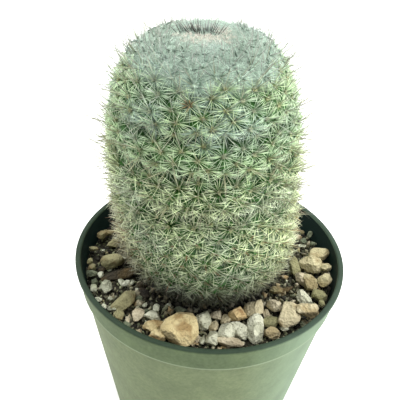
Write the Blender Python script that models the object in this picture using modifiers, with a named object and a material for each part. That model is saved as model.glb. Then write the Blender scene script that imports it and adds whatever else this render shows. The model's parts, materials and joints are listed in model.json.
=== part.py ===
"""Potted mammillaria: a columnar, spiny cactus in a round plastic nursery pot, dressed with gravel.

Metres, +Z up. The origin is the centre of the pot's underside, and the plant's front faces -Y.
"""

import math
import random

import bmesh
import bpy
from mathutils import Matrix, Vector, geometry

OBJECT_NAME = "potted_mammillaria"
GAP = 0.0003  # left between pieces that touch
MERGE_DISTANCE = 0.00001
MILLIMETRE = 0.001
UP = Vector((0.0, 0.0, 1.0))

# Pot: a thin moulded cup with a lip, a plain collar under it and a tapered wall
POT_HEIGHT = 0.089
RIM_RADIUS = 0.051
LIP_WIDTH = 0.002
LIP_HEIGHT = 0.0024
LIP_ROUND = 0.0007
COLLAR_HEIGHT = 0.008
COLLAR_TOP_RADIUS = 0.050
COLLAR_FOOT_RADIUS = 0.0492
COLLAR_STEP = 0.001
WALL_TAPER = 0.155
FLOOR_THICKNESS = 0.0016
FLOOR_WALL = 0.0012
BASE_CHAMFER = 0.001
POT_SIDES = 56
DRAIN_HOLES = 6
DRAIN_RADIUS = 0.004
DRAIN_CIRCLE_RADIUS = 0.024
DRAIN_SIDES = 10

# Potting mix: fills the pot to about a centimetre below the rim
SOIL_TOP = POT_HEIGHT - 0.0095
SOIL_SIDES = 48
SOIL_RINGS = 12
SOIL_BANKS = 3
SOIL_BANK_HEIGHT = 0.0006
SOIL_BANK_WIDTH = 0.008
SOIL_GRAIN = 0.0011
SOIL_SEED = 3

# Plant: the surface that the tips of the dense spines make, over a leaning axis
PLANT_AXIS_X = -0.0006
PLANT_AXIS_Y = -0.004
PLANT_FOOT = POT_HEIGHT - 0.008
PLANT_LEAN = -0.074
PLANT_HEIGHT = 0.095
BARREL_RADIUS = 0.0318
BARREL_FLARE = 0.022
DOME_START = 0.037
DOME_POWER = 2.7
FOOT_RADIUS = 0.0167
FOOT_HEIGHT = 0.022
FOOT_POWER = 1.82
LOWEST_TUBERCLE = -0.0025

# Stem under the spines: conical tubercles in the spirals of a sunflower head
SPINE_COVER = 0.0025
TUBERCLE_SPACING = 0.0081
CROWN_SPACING = 0.0055
CROWN_RADIUS = 0.020
TUBERCLE_DEPTH = 0.44
GOLDEN_ANGLE = math.pi * (3.0 - math.sqrt(5.0))
PROFILE_STEPS = 600
FOOT_SIDES = 20
MAP_SCALE = 100.0
MAP_TOLERANCE = 0.0000001
FOOT_MARGIN = 1.03

# Buried end of the stem
STUB_RADIUS = 0.0118
STUB_TIP_RADIUS = 0.007
STUB_DEPTH = 0.016
STEM_HOLE_TOP = SOIL_TOP + 0.0035
STEM_HOLE_TOP_RADIUS = 0.0152

# Spines
SPINES_EACH = 3
SPINE_LENGTH = 0.0062
SPINE_LENGTH_SPREAD = 0.0008
SPINE_RADIUS = 0.00036
SPINE_ROOT_DEPTH = 0.001
SPINE_ROOT_SHARE = 0.36
SPINE_RISE = math.radians(38.0)
SPINE_RISE_SPREAD = math.radians(9.0)
SPINE_START = math.radians(90.0)
CROWN_SPINE_LENGTH = 0.0045
CROWN_THINNESS = 0.75
SPINE_CLEARANCE = 0.0075
SPINE_SEED = 11

# Fan of long dark spines at the growing point
TUFT_SPINES = 18
TUFT_LENGTH = 0.0075
TUFT_RADIUS = 0.0052
TUFT_SPREAD = math.radians(34.0)
TUFT_UNEVENNESS = math.radians(5.0)
TUFT_SHORTEST = 0.8
TUFT_SPINE_RADIUS = 0.0004
TUFT_ROOT_DEPTH = 0.0028

# Gravel: stones on a thin bed of grit, along the front and the right of the pot
BED_FROM = math.radians(-155.0)
BED_TO = math.radians(36.0)
BED_INNER_RADIUS = 0.0205
BED_BOTTOM = SOIL_TOP - 0.0035
BED_TOP = SOIL_TOP + 0.0007
BED_STEPS = 18
BED_RINGS = 2
BED_GRAIN = 0.0006
STONE_GROWTH = 1.12
STONE_HEIGHT = 0.82
STONE_SINK = 0.33
STONE_ROUGHNESS = 0.13
STONE_TILT = math.radians(9.0)
STONE_SEED = 5
SMALL_STONE = 0.0052
STONE_FINENESS = 2
CHIP_FINENESS = 1
CHIP_COUNT = 12
CHIP_SIZE = 0.0042
CHIP_SIZE_SPREAD = 0.2
CHIP_STRETCH = 1.2
CHIP_STEP = 0.618  # of the bed's arc, so that chips never line up
CHIP_MARGIN = 0.03

# The larger stones: place across and along the pot, length, width and turn, in millimetres and degrees
STONES = (
    (-7.5, -36.5, 13.0, 9.5, 78), (-17.0, -35.5, 9.0, 5.5, -10), (-15.5, -41.0, 6.5, 4.5, 5),
    (-19.0, -30.5, 5.5, 4.5, 60), (-0.5, -32.0, 8.0, 5.5, 80), (4.0, -35.0, 6.5, 5.0, 80),
    (4.5, -28.5, 5.0, 3.8, 0), (11.0, -29.0, 8.0, 6.2, 20), (12.5, -35.5, 8.5, 5.2, -30),
    (7.0, -39.0, 8.0, 6.0, 60), (2.0, -41.0, 6.0, 4.5, 60), (12.5, -41.0, 6.0, 4.2, 0),
    (18.3, -34.5, 10.5, 6.2, 76), (18.5, -25.5, 8.0, 6.5, 60), (24.8, -23.5, 6.0, 5.5, 0),
    (23.5, -30.5, 6.0, 5.0, 20), (24.5, -37.0, 7.0, 4.5, -30), (30.5, -27.5, 10.5, 8.0, 80),
    (37.5, -25.5, 7.5, 6.5, 20), (35.0, -17.5, 6.5, 5.2, 110), (41.5, -17.0, 6.0, 5.0, 80),
    (33.8, -8.0, 9.0, 6.2, 100), (39.6, -7.5, 10.0, 6.6, 80), (44.5, -6.0, 8.5, 4.8, 84),
    (39.5, 2.5, 10.5, 7.5, 30), (44.0, 5.0, 7.0, 5.5, 80), (32.8, 3.0, 9.0, 5.2, 100),
    (36.0, 10.0, 6.5, 5.0, 40), (-27.5, -26.0, 8.5, 5.5, 70), (-24.5, -32.5, 6.0, 4.5, 60),
)


def srgb(code):
    """Linear RGBA of an sRGB colour written as six hex digits."""
    channels = [int(code[i:i + 2], 16) / 255.0 for i in (0, 2, 4)]
    linear = [c / 12.92 if c <= 0.04045 else ((c + 0.055) / 1.055) ** 2.4 for c in channels]
    return (*linear, 1.0)


def material(name, colour, roughness):
    """A non-metallic Principled material."""
    finish = bpy.data.materials.new(name)
    finish.use_nodes = True
    shader = finish.node_tree.nodes["Principled BSDF"]
    shader.inputs["Base Color"].default_value = srgb(colour)
    shader.inputs["Roughness"].default_value = roughness
    shader.inputs["Metallic"].default_value = 0.0
    return finish


def new_collection(name):
    group = bpy.data.collections.new(name)
    bpy.context.scene.collection.children.link(group)
    return group


def add_object(name, mesh, group):
    piece = bpy.data.objects.new(name, mesh)
    group.objects.link(piece)
    return piece


def mesh_of(name, shape):
    """Turns a bmesh into a mesh and frees it."""
    mesh = bpy.data.meshes.new(name)
    shape.to_mesh(mesh)
    shape.free()
    return mesh


def settle(piece):
    """Applies an object's modifiers to its mesh."""
    depsgraph = bpy.context.evaluated_depsgraph_get()
    mesh = bpy.data.meshes.new_from_object(piece.evaluated_get(depsgraph))
    piece.modifiers.clear()
    piece.data = mesh


def turned(name, profile, sides, group):
    """A solid of revolution from a profile whose outer side runs from top to bottom."""
    mesh = bpy.data.meshes.new(name)
    edges = [(i, i + 1) for i in range(len(profile) - 1)]
    mesh.from_pydata([(radius, 0.0, height) for radius, height in profile], edges, [])
    piece = add_object(name, mesh, group)
    screw = piece.modifiers.new("turn", "SCREW")
    screw.steps = sides
    screw.render_steps = sides
    screw.use_merge_vertices = True
    screw.merge_threshold = MERGE_DISTANCE
    return piece


def cutter(name, mesh, group):
    """An object that only cuts others."""
    tool = add_object(name, mesh, group)
    tool.hide_render = True
    tool.display_type = "WIRE"
    return tool


def cut(piece, group):
    """Cuts every object of a collection out of a piece."""
    boolean = piece.modifiers.new("cut", "BOOLEAN")
    boolean.operation = "DIFFERENCE"
    boolean.operand_type = "COLLECTION"
    boolean.collection = group


def fuse(piece, group):
    """Joins a collection of small solids to a piece, and removes them."""
    boolean = piece.modifiers.new("fuse", "BOOLEAN")
    boolean.operation = "UNION"
    boolean.operand_type = "COLLECTION"
    boolean.collection = group
    boolean.solver = "MANIFOLD"
    settle(piece)
    for small in list(group.objects):
        bpy.data.objects.remove(small)
    bpy.data.collections.remove(group)


def finish_piece(piece, finish, smooth_angle=None):
    """Gives a piece its material, and smooth shading below an edge angle."""
    piece.data.materials.clear()
    piece.data.materials.append(finish)
    if smooth_angle is not None:
        piece.data.shade_smooth()
        piece.data.set_sharp_from_angle(angle=smooth_angle)


def pot_inner_radius(height):
    """The pot's inside is one straight cone from the floor to the lip."""
    top_inner = RIM_RADIUS - LIP_WIDTH
    floor_inner = wall_outer_radius(0.0) - FLOOR_WALL
    share = (POT_HEIGHT - height) / (POT_HEIGHT - FLOOR_THICKNESS)
    return top_inner + (floor_inner - top_inner) * share


def wall_outer_radius(height):
    collar_foot = POT_HEIGHT - LIP_HEIGHT - COLLAR_HEIGHT
    return COLLAR_FOOT_RADIUS - COLLAR_STEP - WALL_TAPER * (collar_foot - height)


def lip_arc(centre_radius, centre_height, start, end, points=3):
    """Points of a round edge of the lip, from one angle to another."""
    arc = []
    for i in range(points):
        angle = start + (end - start) * i / (points - 1)
        arc.append((centre_radius + LIP_ROUND * math.cos(angle), centre_height + LIP_ROUND * math.sin(angle)))
    return arc


def make_pot(group, cutters):
    """Turned cup with a rounded lip, a stepped collar and drain holes in its floor."""
    lip_inner = RIM_RADIUS - LIP_WIDTH
    lip_foot = POT_HEIGHT - LIP_HEIGHT
    collar_foot = lip_foot - COLLAR_HEIGHT
    profile = [(0.0, FLOOR_THICKNESS), (pot_inner_radius(FLOOR_THICKNESS), FLOOR_THICKNESS)]
    profile.append((pot_inner_radius(lip_foot), lip_foot))
    profile += lip_arc(lip_inner + LIP_ROUND, POT_HEIGHT - LIP_ROUND, math.pi, math.pi / 2)
    profile += lip_arc(RIM_RADIUS - LIP_ROUND, POT_HEIGHT - LIP_ROUND, math.pi / 2, 0.0)
    profile += [(RIM_RADIUS, lip_foot + LIP_ROUND / 2), (RIM_RADIUS - LIP_ROUND / 2, lip_foot)]
    profile += [(COLLAR_TOP_RADIUS, lip_foot), (COLLAR_FOOT_RADIUS, collar_foot)]
    profile += [(wall_outer_radius(collar_foot), collar_foot - COLLAR_STEP / 2)]
    profile += [(wall_outer_radius(BASE_CHAMFER), BASE_CHAMFER)]
    profile += [(wall_outer_radius(0.0) - BASE_CHAMFER, 0.0), (0.0, 0.0)]
    pot = turned("pot", profile, POT_SIDES, group)
    for i in range(DRAIN_HOLES):
        angle = 2.0 * math.pi * (i + 0.5) / DRAIN_HOLES
        shape = bmesh.new()
        centre = (DRAIN_CIRCLE_RADIUS * math.cos(angle), DRAIN_CIRCLE_RADIUS * math.sin(angle), 0.0)
        bmesh.ops.create_cone(
            shape, cap_ends=True, segments=DRAIN_SIDES, radius1=DRAIN_RADIUS, radius2=DRAIN_RADIUS,
            depth=FLOOR_THICKNESS * 4, matrix=Matrix.Translation(centre))
        cutter(f"drain_hole_{i + 1}", mesh_of("drain_hole", shape), cutters)
    cut(pot, cutters)
    settle(pot)
    finish_piece(pot, material("pot_green_plastic", "4e5f55", 0.45), math.radians(35.0))


def foot_point(angle, radius, height):
    """A point round the plant's foot."""
    return Vector((PLANT_AXIS_X + radius * math.cos(angle), PLANT_AXIS_Y + radius * math.sin(angle), height))


def stem_hole():
    """A plain cone round the buried end of the stem, open at the top of the soil."""
    bottom = PLANT_FOOT - STUB_DEPTH - GAP
    shape = bmesh.new()
    middle = Matrix.Translation((PLANT_AXIS_X, PLANT_AXIS_Y, (STEM_HOLE_TOP + bottom) / 2))
    bmesh.ops.create_cone(
        shape, cap_ends=True, segments=FOOT_SIDES, radius1=STUB_TIP_RADIUS + GAP,
        radius2=STEM_HOLE_TOP_RADIUS, depth=STEM_HOLE_TOP - bottom, matrix=middle)
    return mesh_of("stem_hole", shape)


def bed_wedge(name, grow, outer, bottom, top, rings=1):
    """The ring sector that the gravel lies in, grown by a gap where it is a cutter."""
    inner = BED_INNER_RADIUS - grow
    widen = grow / BED_INNER_RADIUS
    shape = bmesh.new()
    rows = []
    for i in range(BED_STEPS + 1):
        angle = BED_FROM - widen + (BED_TO - BED_FROM + 2 * widen) * i / BED_STEPS
        radii = [inner + (outer - inner) * k / rings for k in range(rings + 1)]
        rows.append([shape.verts.new((r * math.cos(angle), r * math.sin(angle), bottom)) for r in radii])
    for before, after in zip(rows, rows[1:]):
        for k in range(rings):
            shape.faces.new((before[k], before[k + 1], after[k + 1], after[k]))
    grown = bmesh.ops.extrude_face_region(shape, geom=list(shape.faces))
    lifted = [item for item in grown["geom"] if isinstance(item, bmesh.types.BMVert)]
    bmesh.ops.translate(shape, verts=lifted, vec=(0.0, 0.0, top - bottom))
    bmesh.ops.recalc_face_normals(shape, faces=list(shape.faces))
    return mesh_of(name, shape)


def make_soil(group, cutters):
    """Potting mix that fills the pot, with a rough top, a hole for the stem and a bed for the gravel."""
    floor = FLOOR_THICKNESS + GAP
    edge = pot_inner_radius(SOIL_TOP) - GAP
    profile = []
    for ring in range(SOIL_RINGS + 1):
        profile.append((edge * ring / SOIL_RINGS, SOIL_TOP))
    profile += [(pot_inner_radius(floor) - GAP, floor), (0.0, floor)]
    soil = turned("soil", profile, SOIL_SIDES, group)
    settle(soil)
    draw = random.Random(SOIL_SEED)
    for vertex in soil.data.vertices:
        radius = math.hypot(vertex.co.x, vertex.co.y)
        if vertex.co.z > SOIL_TOP - GAP and radius < edge - GAP:
            turn = SOIL_BANKS * math.atan2(vertex.co.y, vertex.co.x)
            bank = SOIL_BANK_HEIGHT * math.sin(turn + radius / SOIL_BANK_WIDTH)
            vertex.co.z += bank + draw.uniform(-SOIL_GRAIN, SOIL_GRAIN)
    cutter("stem_hole", stem_hole(), cutters)
    room = bed_wedge("gravel_bed_cut", GAP, RIM_RADIUS, BED_BOTTOM - GAP, POT_HEIGHT)
    cutter("gravel_bed_cut", room, cutters)
    cut(soil, cutters)
    settle(soil)
    finish_piece(soil, material("potting_mix", "3b352b", 0.95), math.radians(20.0))


def plant_radius(height):
    """Radius of the spines' surface at a height above the plant's foot."""
    rise = min(max((height - DOME_START) / (PLANT_HEIGHT - DOME_START), 0.0), 1.0)
    dome = (1.0 - rise ** DOME_POWER) ** (1.0 / DOME_POWER)
    pinch = min(max(1.0 - height / FOOT_HEIGHT, 0.0), 2.0) ** FOOT_POWER
    return (BARREL_RADIUS + BARREL_FLARE * height) * dome - (BARREL_RADIUS - FOOT_RADIUS) * pinch


def plant_profile():
    """Samples of the plant's outline from the growing point down: height, radius, slope, arc length."""
    samples = []
    for i in range(PROFILE_STEPS + 1):
        turn = math.pi / 2 * i / PROFILE_STEPS
        height = LOWEST_TUBERCLE + (PLANT_HEIGHT - LOWEST_TUBERCLE) * math.cos(turn) ** 2
        samples.append((height, max(plant_radius(height), 0.0)))
    rows = []
    length = 0.0
    for i, (height, radius) in enumerate(samples):
        before = samples[max(i - 1, 0)]
        after = samples[min(i + 1, PROFILE_STEPS)]
        across = after[1] - before[1]
        down = before[0] - after[0]
        size = math.hypot(across, down)
        if i:
            length += math.dist(samples[i], samples[i - 1])
        rows.append((height, radius, down / size, across / size, length))
    return rows


def surface(row, angle, depth):
    """A point and its normal on the plant, at a depth under the spines' surface."""
    height, radius, outward, upward, _ = row
    normal = Vector((outward * math.cos(angle), outward * math.sin(angle), upward))
    centre = Vector((PLANT_AXIS_X + PLANT_LEAN * height, PLANT_AXIS_Y, PLANT_FOOT + height))
    side = Vector((math.cos(angle), math.sin(angle), 0.0))
    return centre + side * radius - normal * depth, normal


def tubercle_spacing(radius):
    """Distance between tubercles, smaller where they are young."""
    share = min(radius / CROWN_RADIUS, 1.0)
    return CROWN_SPACING + (TUBERCLE_SPACING - CROWN_SPACING) * share


def place_tubercles(rows):
    """Places along the plant in golden-angle order: outline row, angle, distance on a flat map."""
    map_log = [0.0] * len(rows)
    for i in range(len(rows) - 2, 0, -1):
        step = rows[i + 1][4] - rows[i][4]
        map_log[i] = map_log[i + 1] - step / rows[i][1]
    places = []
    count = 0.0
    for i in range(1, len(rows)):
        radius = rows[i][1]
        area = 2.0 * math.pi * radius * (rows[i][4] - rows[i - 1][4])
        count += area / (math.sqrt(0.75) * tubercle_spacing(radius) ** 2)
        while len(places) + 0.5 < count:
            angle = len(places) * GOLDEN_ANGLE
            places.append((rows[i], angle, math.exp(map_log[i])))
    return places


def make_lattice(rows, places):
    """Tips, the triangles between them on a flat map, and a valley at the centre of each triangle."""
    flat = [Vector((far * math.cos(angle), far * math.sin(angle))) * MAP_SCALE for _, angle, far in places]
    tips = [surface(row, angle, SPINE_COVER)[0] for row, angle, _ in places]
    for i in range(FOOT_SIDES):
        angle = 2.0 * math.pi * i / FOOT_SIDES
        flat.append(Vector((math.cos(angle), math.sin(angle))) * MAP_SCALE * FOOT_MARGIN)
        tips.append(foot_point(angle, STUB_RADIUS, PLANT_FOOT + rows[-1][0]))
    triangles = geometry.delaunay_2d_cdt(flat, [], [], 0, MAP_TOLERANCE)[2]
    valleys = []
    by_edge = {}
    for number, corners in enumerate(triangles):
        middle = sum((tips[i] for i in corners), Vector()) / 3.0
        reach = sum((tips[i] - middle).length for i in corners) / 3.0
        across = (tips[corners[1]] - tips[corners[0]]).cross(tips[corners[2]] - tips[corners[0]])
        on_foot = sum(i >= len(places) for i in corners) == 2
        sink = 0.0 if on_foot else TUBERCLE_DEPTH * reach
        valleys.append(middle - across.normalized() * sink)
        for k in range(3):
            by_edge[(corners[k], corners[(k + 1) % 3])] = number
    return tips, valleys, by_edge


def make_stem(lattice, group):
    """Stem with a fan of facets from each tubercle's tip down to the valleys round it, and a buried end."""
    tips, valleys, by_edge = lattice
    shape = bmesh.new()
    high = [shape.verts.new(point) for point in tips]
    low = [shape.verts.new(point) for point in valleys]
    for (start, end), number in by_edge.items():
        beyond = by_edge.get((end, start))
        far_corner = high[end] if beyond is None else low[beyond]
        shape.faces.new((high[start], far_corner, low[number]))
    rim = [edge for edge in shape.edges if edge.is_boundary]
    sunk = bmesh.ops.extrude_edge_only(shape, edges=rim)
    for vertex in sunk["geom"]:
        if isinstance(vertex, bmesh.types.BMVert):
            angle = math.atan2(vertex.co.y - PLANT_AXIS_Y, vertex.co.x - PLANT_AXIS_X)
            vertex.co = foot_point(angle, STUB_TIP_RADIUS, PLANT_FOOT - STUB_DEPTH)
    bmesh.ops.contextual_create(shape, geom=[edge for edge in shape.edges if edge.is_boundary])
    bmesh.ops.triangulate(shape, faces=list(shape.faces))
    bmesh.ops.recalc_face_normals(shape, faces=list(shape.faces))
    return add_object("cactus", mesh_of("cactus", shape), group)


def add_spine(mesh, root, direction, length, thickness, group):
    """A three-sided needle from its root to its point."""
    turn = UP.rotation_difference(direction).to_matrix().to_4x4()
    size = Matrix.Diagonal((thickness, thickness, length, 1.0))
    spine = add_object("spine", mesh, group)
    spine.matrix_world = Matrix.Translation(root) @ turn @ size


def unit_needle():
    """A three-sided needle of length 1 and radius 1, standing on the origin."""
    shape = bmesh.new()
    bmesh.ops.create_cone(
        shape, cap_ends=True, segments=3, radius1=1.0, radius2=0.0, depth=1.0,
        matrix=Matrix.Translation((0.0, 0.0, 0.5)))
    return mesh_of("spine", shape)


def facet_foot(lattice, start, end):
    """Middle of the valley between two neighbouring tubercles, or nothing at the stem's foot."""
    _, valleys, by_edge = lattice
    here = by_edge.get((start, end))
    beyond = by_edge.get((end, start))
    if here is None or beyond is None:
        return None
    return (valleys[here] + valleys[beyond]) / 2.0


def add_spines(lattice, places, group):
    """Spines spread from evenly chosen facets of each tubercle; none points down beside the gravel."""
    draw = random.Random(SPINE_SEED)
    needle = unit_needle()
    tips = lattice[0]
    neighbours = {}
    for start, end in lattice[2]:
        neighbours.setdefault(start, set()).add(end)
    for i, (row, angle, _) in enumerate(places):
        tip, normal = surface(row, angle, SPINE_COVER)
        around = Vector((-math.sin(angle), math.cos(angle), 0.0))
        along = normal.cross(around)
        young = min(row[1] / CROWN_RADIUS, 1.0)
        number = SPINES_EACH - i % 2  # one fewer on every other tubercle
        free = sorted(neighbours[i])
        for k in range(number):
            spread = SPINE_START + 2.0 * math.pi * k / number
            wanted = along * math.sin(spread) + around * math.cos(spread)
            chosen = max(free, key=lambda j: (tips[j] - tip).normalized().dot(wanted))
            free.remove(chosen)
            foot = facet_foot(lattice, i, chosen)
            rise = SPINE_RISE + draw.uniform(-SPINE_RISE_SPREAD, SPINE_RISE_SPREAD)
            full = SPINE_LENGTH + draw.uniform(-SPINE_LENGTH_SPREAD, SPINE_LENGTH_SPREAD)
            if foot is None:
                continue
            reach = CROWN_SPINE_LENGTH + (full - CROWN_SPINE_LENGTH) * young
            side = foot - tip
            side = (side - normal * side.dot(normal)).normalized()
            direction = normal * math.sin(rise) + side * math.cos(rise)
            if row[0] < SPINE_CLEARANCE and direction.z < 0.0:
                continue
            root = tip.lerp(foot, SPINE_ROOT_SHARE) - direction * SPINE_ROOT_DEPTH
            thickness = SPINE_RADIUS * (CROWN_THINNESS + (1.0 - CROWN_THINNESS) * young)
            add_spine(needle, root, direction, reach + SPINE_ROOT_DEPTH, thickness, group)


def add_tuft(rows, group):
    """The fan of longer spines at the growing point."""
    draw = random.Random(SPINE_SEED + 1)
    needle = unit_needle()
    for i in range(TUFT_SPINES):
        share = math.sqrt((i + 0.5) / TUFT_SPINES)
        angle = i * GOLDEN_ANGLE
        side = Vector((math.cos(angle), math.sin(angle), 0.0))
        tilt = TUFT_SPREAD * share + draw.uniform(-TUFT_UNEVENNESS, TUFT_UNEVENNESS)
        direction = UP * math.cos(tilt) + side * math.sin(tilt)
        row = next(row for row in rows if row[1] >= TUFT_RADIUS * share)
        root = surface(row, angle, SPINE_COVER + TUFT_ROOT_DEPTH)[0]
        length = TUFT_LENGTH * draw.uniform(TUFT_SHORTEST, 1.0) + TUFT_ROOT_DEPTH
        add_spine(needle, root, direction, length, TUFT_SPINE_RADIUS, group)


def make_cactus(group):
    """One plant: stem, tubercles, spines and the fan at its top in one body."""
    rows = plant_profile()
    places = place_tubercles(rows)
    lattice = make_lattice(rows, places)
    cactus = make_stem(lattice, group)
    spines = new_collection("spines")
    add_spines(lattice, places, spines)
    add_tuft(rows, spines)
    fuse(cactus, spines)
    finish_piece(cactus, material("cactus_green_and_spines", "93a07d", 0.7))


def add_stone(draw, place, size, turn, fineness, group):
    """One stone: a rough, flattened ball that sits partly in the bed."""
    shape = bmesh.new()
    bmesh.ops.create_icosphere(shape, subdivisions=fineness, radius=0.5)
    for vertex in shape.verts:
        vertex.co *= 1.0 + draw.uniform(-STONE_ROUGHNESS, STONE_ROUGHNESS)
    length, width = size
    height = width * STONE_HEIGHT
    lean = Matrix.Rotation(draw.uniform(-STONE_TILT, STONE_TILT), 4, "X")
    stone = add_object("stone", mesh_of("stone", shape), group)
    spot = Matrix.Translation((place.x, place.y, BED_TOP + height * STONE_SINK))
    scale = Matrix.Diagonal((length, width, height, 1.0))
    stone.matrix_world = spot @ Matrix.Rotation(turn, 4, "Z") @ lean @ scale


def make_gravel(group):
    """Top dressing: the larger stones and smaller chips between them, in one body with their bed of grit."""
    outer = pot_inner_radius(BED_BOTTOM) - GAP
    draw = random.Random(STONE_SEED)
    gravel = add_object("gravel", bed_wedge("gravel", 0.0, outer, BED_BOTTOM, BED_TOP, BED_RINGS), group)
    for vertex in gravel.data.vertices:
        if vertex.co.z > BED_TOP - GAP:
            vertex.co.z += draw.uniform(-BED_GRAIN, BED_GRAIN)
    stones = new_collection("stones")
    for across, along, length, width, turn in STONES:
        place = Vector((across, along)) * MILLIMETRE
        size = (length * MILLIMETRE * STONE_GROWTH, width * MILLIMETRE * STONE_GROWTH)
        limit = outer - GAP - size[1] / 2
        place *= min(1.0, limit / place.length)
        fineness = STONE_FINENESS if size[1] > SMALL_STONE else CHIP_FINENESS
        add_stone(draw, place, size, math.radians(turn), fineness, stones)
    for i in range(CHIP_COUNT):
        share = CHIP_MARGIN + (1.0 - 2.0 * CHIP_MARGIN) * (i * CHIP_STEP % 1.0)
        angle = BED_FROM + (BED_TO - BED_FROM) * share
        radius = draw.uniform(BED_INNER_RADIUS + CHIP_SIZE, outer - CHIP_SIZE)
        size = CHIP_SIZE * draw.uniform(1.0 - CHIP_SIZE_SPREAD, 1.0 + CHIP_SIZE_SPREAD)
        place = Vector((radius * math.cos(angle), radius * math.sin(angle)))
        turn = draw.uniform(0.0, math.pi)
        add_stone(draw, place, (size * CHIP_STRETCH, size), turn, CHIP_FINENESS, stones)
    fuse(gravel, stones)
    finish_piece(gravel, material("limestone_gravel", "b9ad92", 0.85), math.radians(30.0))


def main():
    for old in list(bpy.data.objects):
        bpy.data.objects.remove(old)
    parts = new_collection(OBJECT_NAME)
    pot_cutters = new_collection("pot_cutters")
    soil_cutters = new_collection("soil_cutters")
    make_pot(parts, pot_cutters)
    make_soil(parts, soil_cutters)
    make_gravel(parts)
    make_cactus(parts)


main()
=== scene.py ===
"""Looks of the potted mammillaria: a columnar, spiny cactus in a green nursery pot dressed with gravel.

Metres, +Z up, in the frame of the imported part. The plant's front faces -Y.
"""

import json
import math
import random
from collections import namedtuple

import bmesh
import bpy
from mathutils import Matrix, Vector, noise

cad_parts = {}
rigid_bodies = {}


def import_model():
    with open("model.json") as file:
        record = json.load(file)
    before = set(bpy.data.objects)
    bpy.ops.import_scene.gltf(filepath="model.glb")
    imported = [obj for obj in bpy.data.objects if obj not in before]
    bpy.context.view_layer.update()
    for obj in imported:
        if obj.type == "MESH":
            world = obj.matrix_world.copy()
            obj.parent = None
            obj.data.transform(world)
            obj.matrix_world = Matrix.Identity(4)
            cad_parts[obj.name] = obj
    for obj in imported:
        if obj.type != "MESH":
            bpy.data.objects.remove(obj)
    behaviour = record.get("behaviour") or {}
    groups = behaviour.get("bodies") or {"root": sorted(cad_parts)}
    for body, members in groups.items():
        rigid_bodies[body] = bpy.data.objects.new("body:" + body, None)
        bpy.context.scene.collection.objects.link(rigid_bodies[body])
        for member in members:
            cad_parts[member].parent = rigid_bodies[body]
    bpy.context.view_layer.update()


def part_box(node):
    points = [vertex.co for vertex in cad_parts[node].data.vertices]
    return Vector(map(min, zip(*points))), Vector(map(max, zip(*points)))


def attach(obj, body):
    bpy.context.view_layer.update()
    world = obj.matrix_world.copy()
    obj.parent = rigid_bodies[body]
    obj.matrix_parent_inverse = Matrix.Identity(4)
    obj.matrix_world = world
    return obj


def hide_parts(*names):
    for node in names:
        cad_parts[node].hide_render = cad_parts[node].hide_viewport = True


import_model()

# Camera
# It looks down at the plant from just above the crown, as the photograph does, with a lens of normal length
# held close and a few degrees off level.
pot_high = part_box("pot")[1]
CAMERA_BACK = 0.1772  # in front of the pot's middle
CAMERA_RISE = 0.1495  # above the rim
CAMERA_DOWN = math.radians(35.6)
CAMERA_RIGHT = math.radians(-1.6)
CAMERA_ROLL = math.radians(3.43)
LENS_MILLIMETRES = 54.0
SENSOR_MILLIMETRES = 36.0
NEAREST_SEEN = 0.01
lens = bpy.data.cameras.new("camera")
lens.lens = LENS_MILLIMETRES
lens.sensor_width = SENSOR_MILLIMETRES
lens.clip_start = NEAREST_SEEN
camera = bpy.data.objects.new("camera", lens)
bpy.context.scene.collection.objects.link(camera)
camera.matrix_world = (
    Matrix.Translation((0.0, -CAMERA_BACK, pot_high.z + CAMERA_RISE))
    @ Matrix.Rotation(-CAMERA_RIGHT, 4, "Z")
    @ Matrix.Rotation(math.pi / 2 - CAMERA_DOWN, 4, "X")
    @ Matrix.Rotation(CAMERA_ROLL, 4, "Z")
)
bpy.context.scene.camera = camera

# Pot
# One thin cup of injection-moulded polypropylene, dyed dark green. The mould left a narrow lip, a collar with
# a small step under it and six drain holes. Hard water has left a dull pale film on the outside of its wall.
RIM_RADIUS = pot_high.x
POT_HEIGHT = pot_high.z
LIP_WIDTH = 0.002
LIP_FOOT = POT_HEIGHT - 0.0016
COLLAR_FOOT = LIP_FOOT - 0.0092
COLLAR_TOP_RADIUS = 0.050
COLLAR_FOOT_RADIUS = 0.0492
COLLAR_STEP = 0.001
WALL_TAPER = 0.155
FLOOR_THICKNESS = 0.0016
FLOOR_WALL = 0.0012
SOFT_EDGE = 0.00035
LIP_EDGE = 0.0007
EDGE_POINTS = 4
POT_SIDES = 168
SHARP_FROM = math.radians(50.0)
WELD = 0.00001
DRAIN_HOLES = 6
DRAIN_RADIUS = 0.004
DRAIN_CIRCLE_RADIUS = 0.024
DRAIN_SIDES = 32
BLOTCH_WIDTH = 0.011
FILM_GRAIN = 0.0012
# Height of the painted highlight along the edge of the collar's step.
STEP_HIGHLIGHT_HEIGHT = COLLAR_FOOT + 0.0006
# A colour mix has its share at input 0, its two colours at 6 and 7, and the mixed colour at output 2.
COLOUR_MIX = {"out": 2, "data_type": "RGBA"}


def linear(code):
    """Linear RGBA of an sRGB colour written as six hex digits."""
    channels = [int(code[i:i + 2], 16) / 255.0 for i in (0, 2, 4)]
    bright = [c / 12.92 if c <= 0.04045 else ((c + 0.055) / 1.055) ** 2.4 for c in channels]
    return (*bright, 1.0)


def feed(node, inputs):
    """Gives a node's inputs, by name or number, what they are linked to or set to."""
    for name, value in inputs.items():
        if isinstance(value, bpy.types.NodeSocket):
            node.id_data.links.new(value, node.inputs[name])
        else:
            node.inputs[name].default_value = value


def add(tree, kind, inputs=None, out=0, **settings):
    """Adds a node with its settings, sets or links its inputs, and returns one of its outputs."""
    made = tree.nodes.new(kind)
    for name, value in settings.items():
        setattr(made, name, value)
    feed(made, inputs or {})
    return made.outputs[out] if len(made.outputs) else None


def layered(tree, colour, layers):
    """A colour under layers, each given as what it follows, its start and full, its most and its tone."""
    for follows, start, full, most, tone in layers:
        share = add(tree, "ShaderNodeMapRange", {
            "Value": follows, "From Min": start, "From Max": full, "To Max": most})
        colour = add(tree, "ShaderNodeMix", {0: share, 6: colour, 7: linear(tone)}, **COLOUR_MIX)
    return colour


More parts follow.
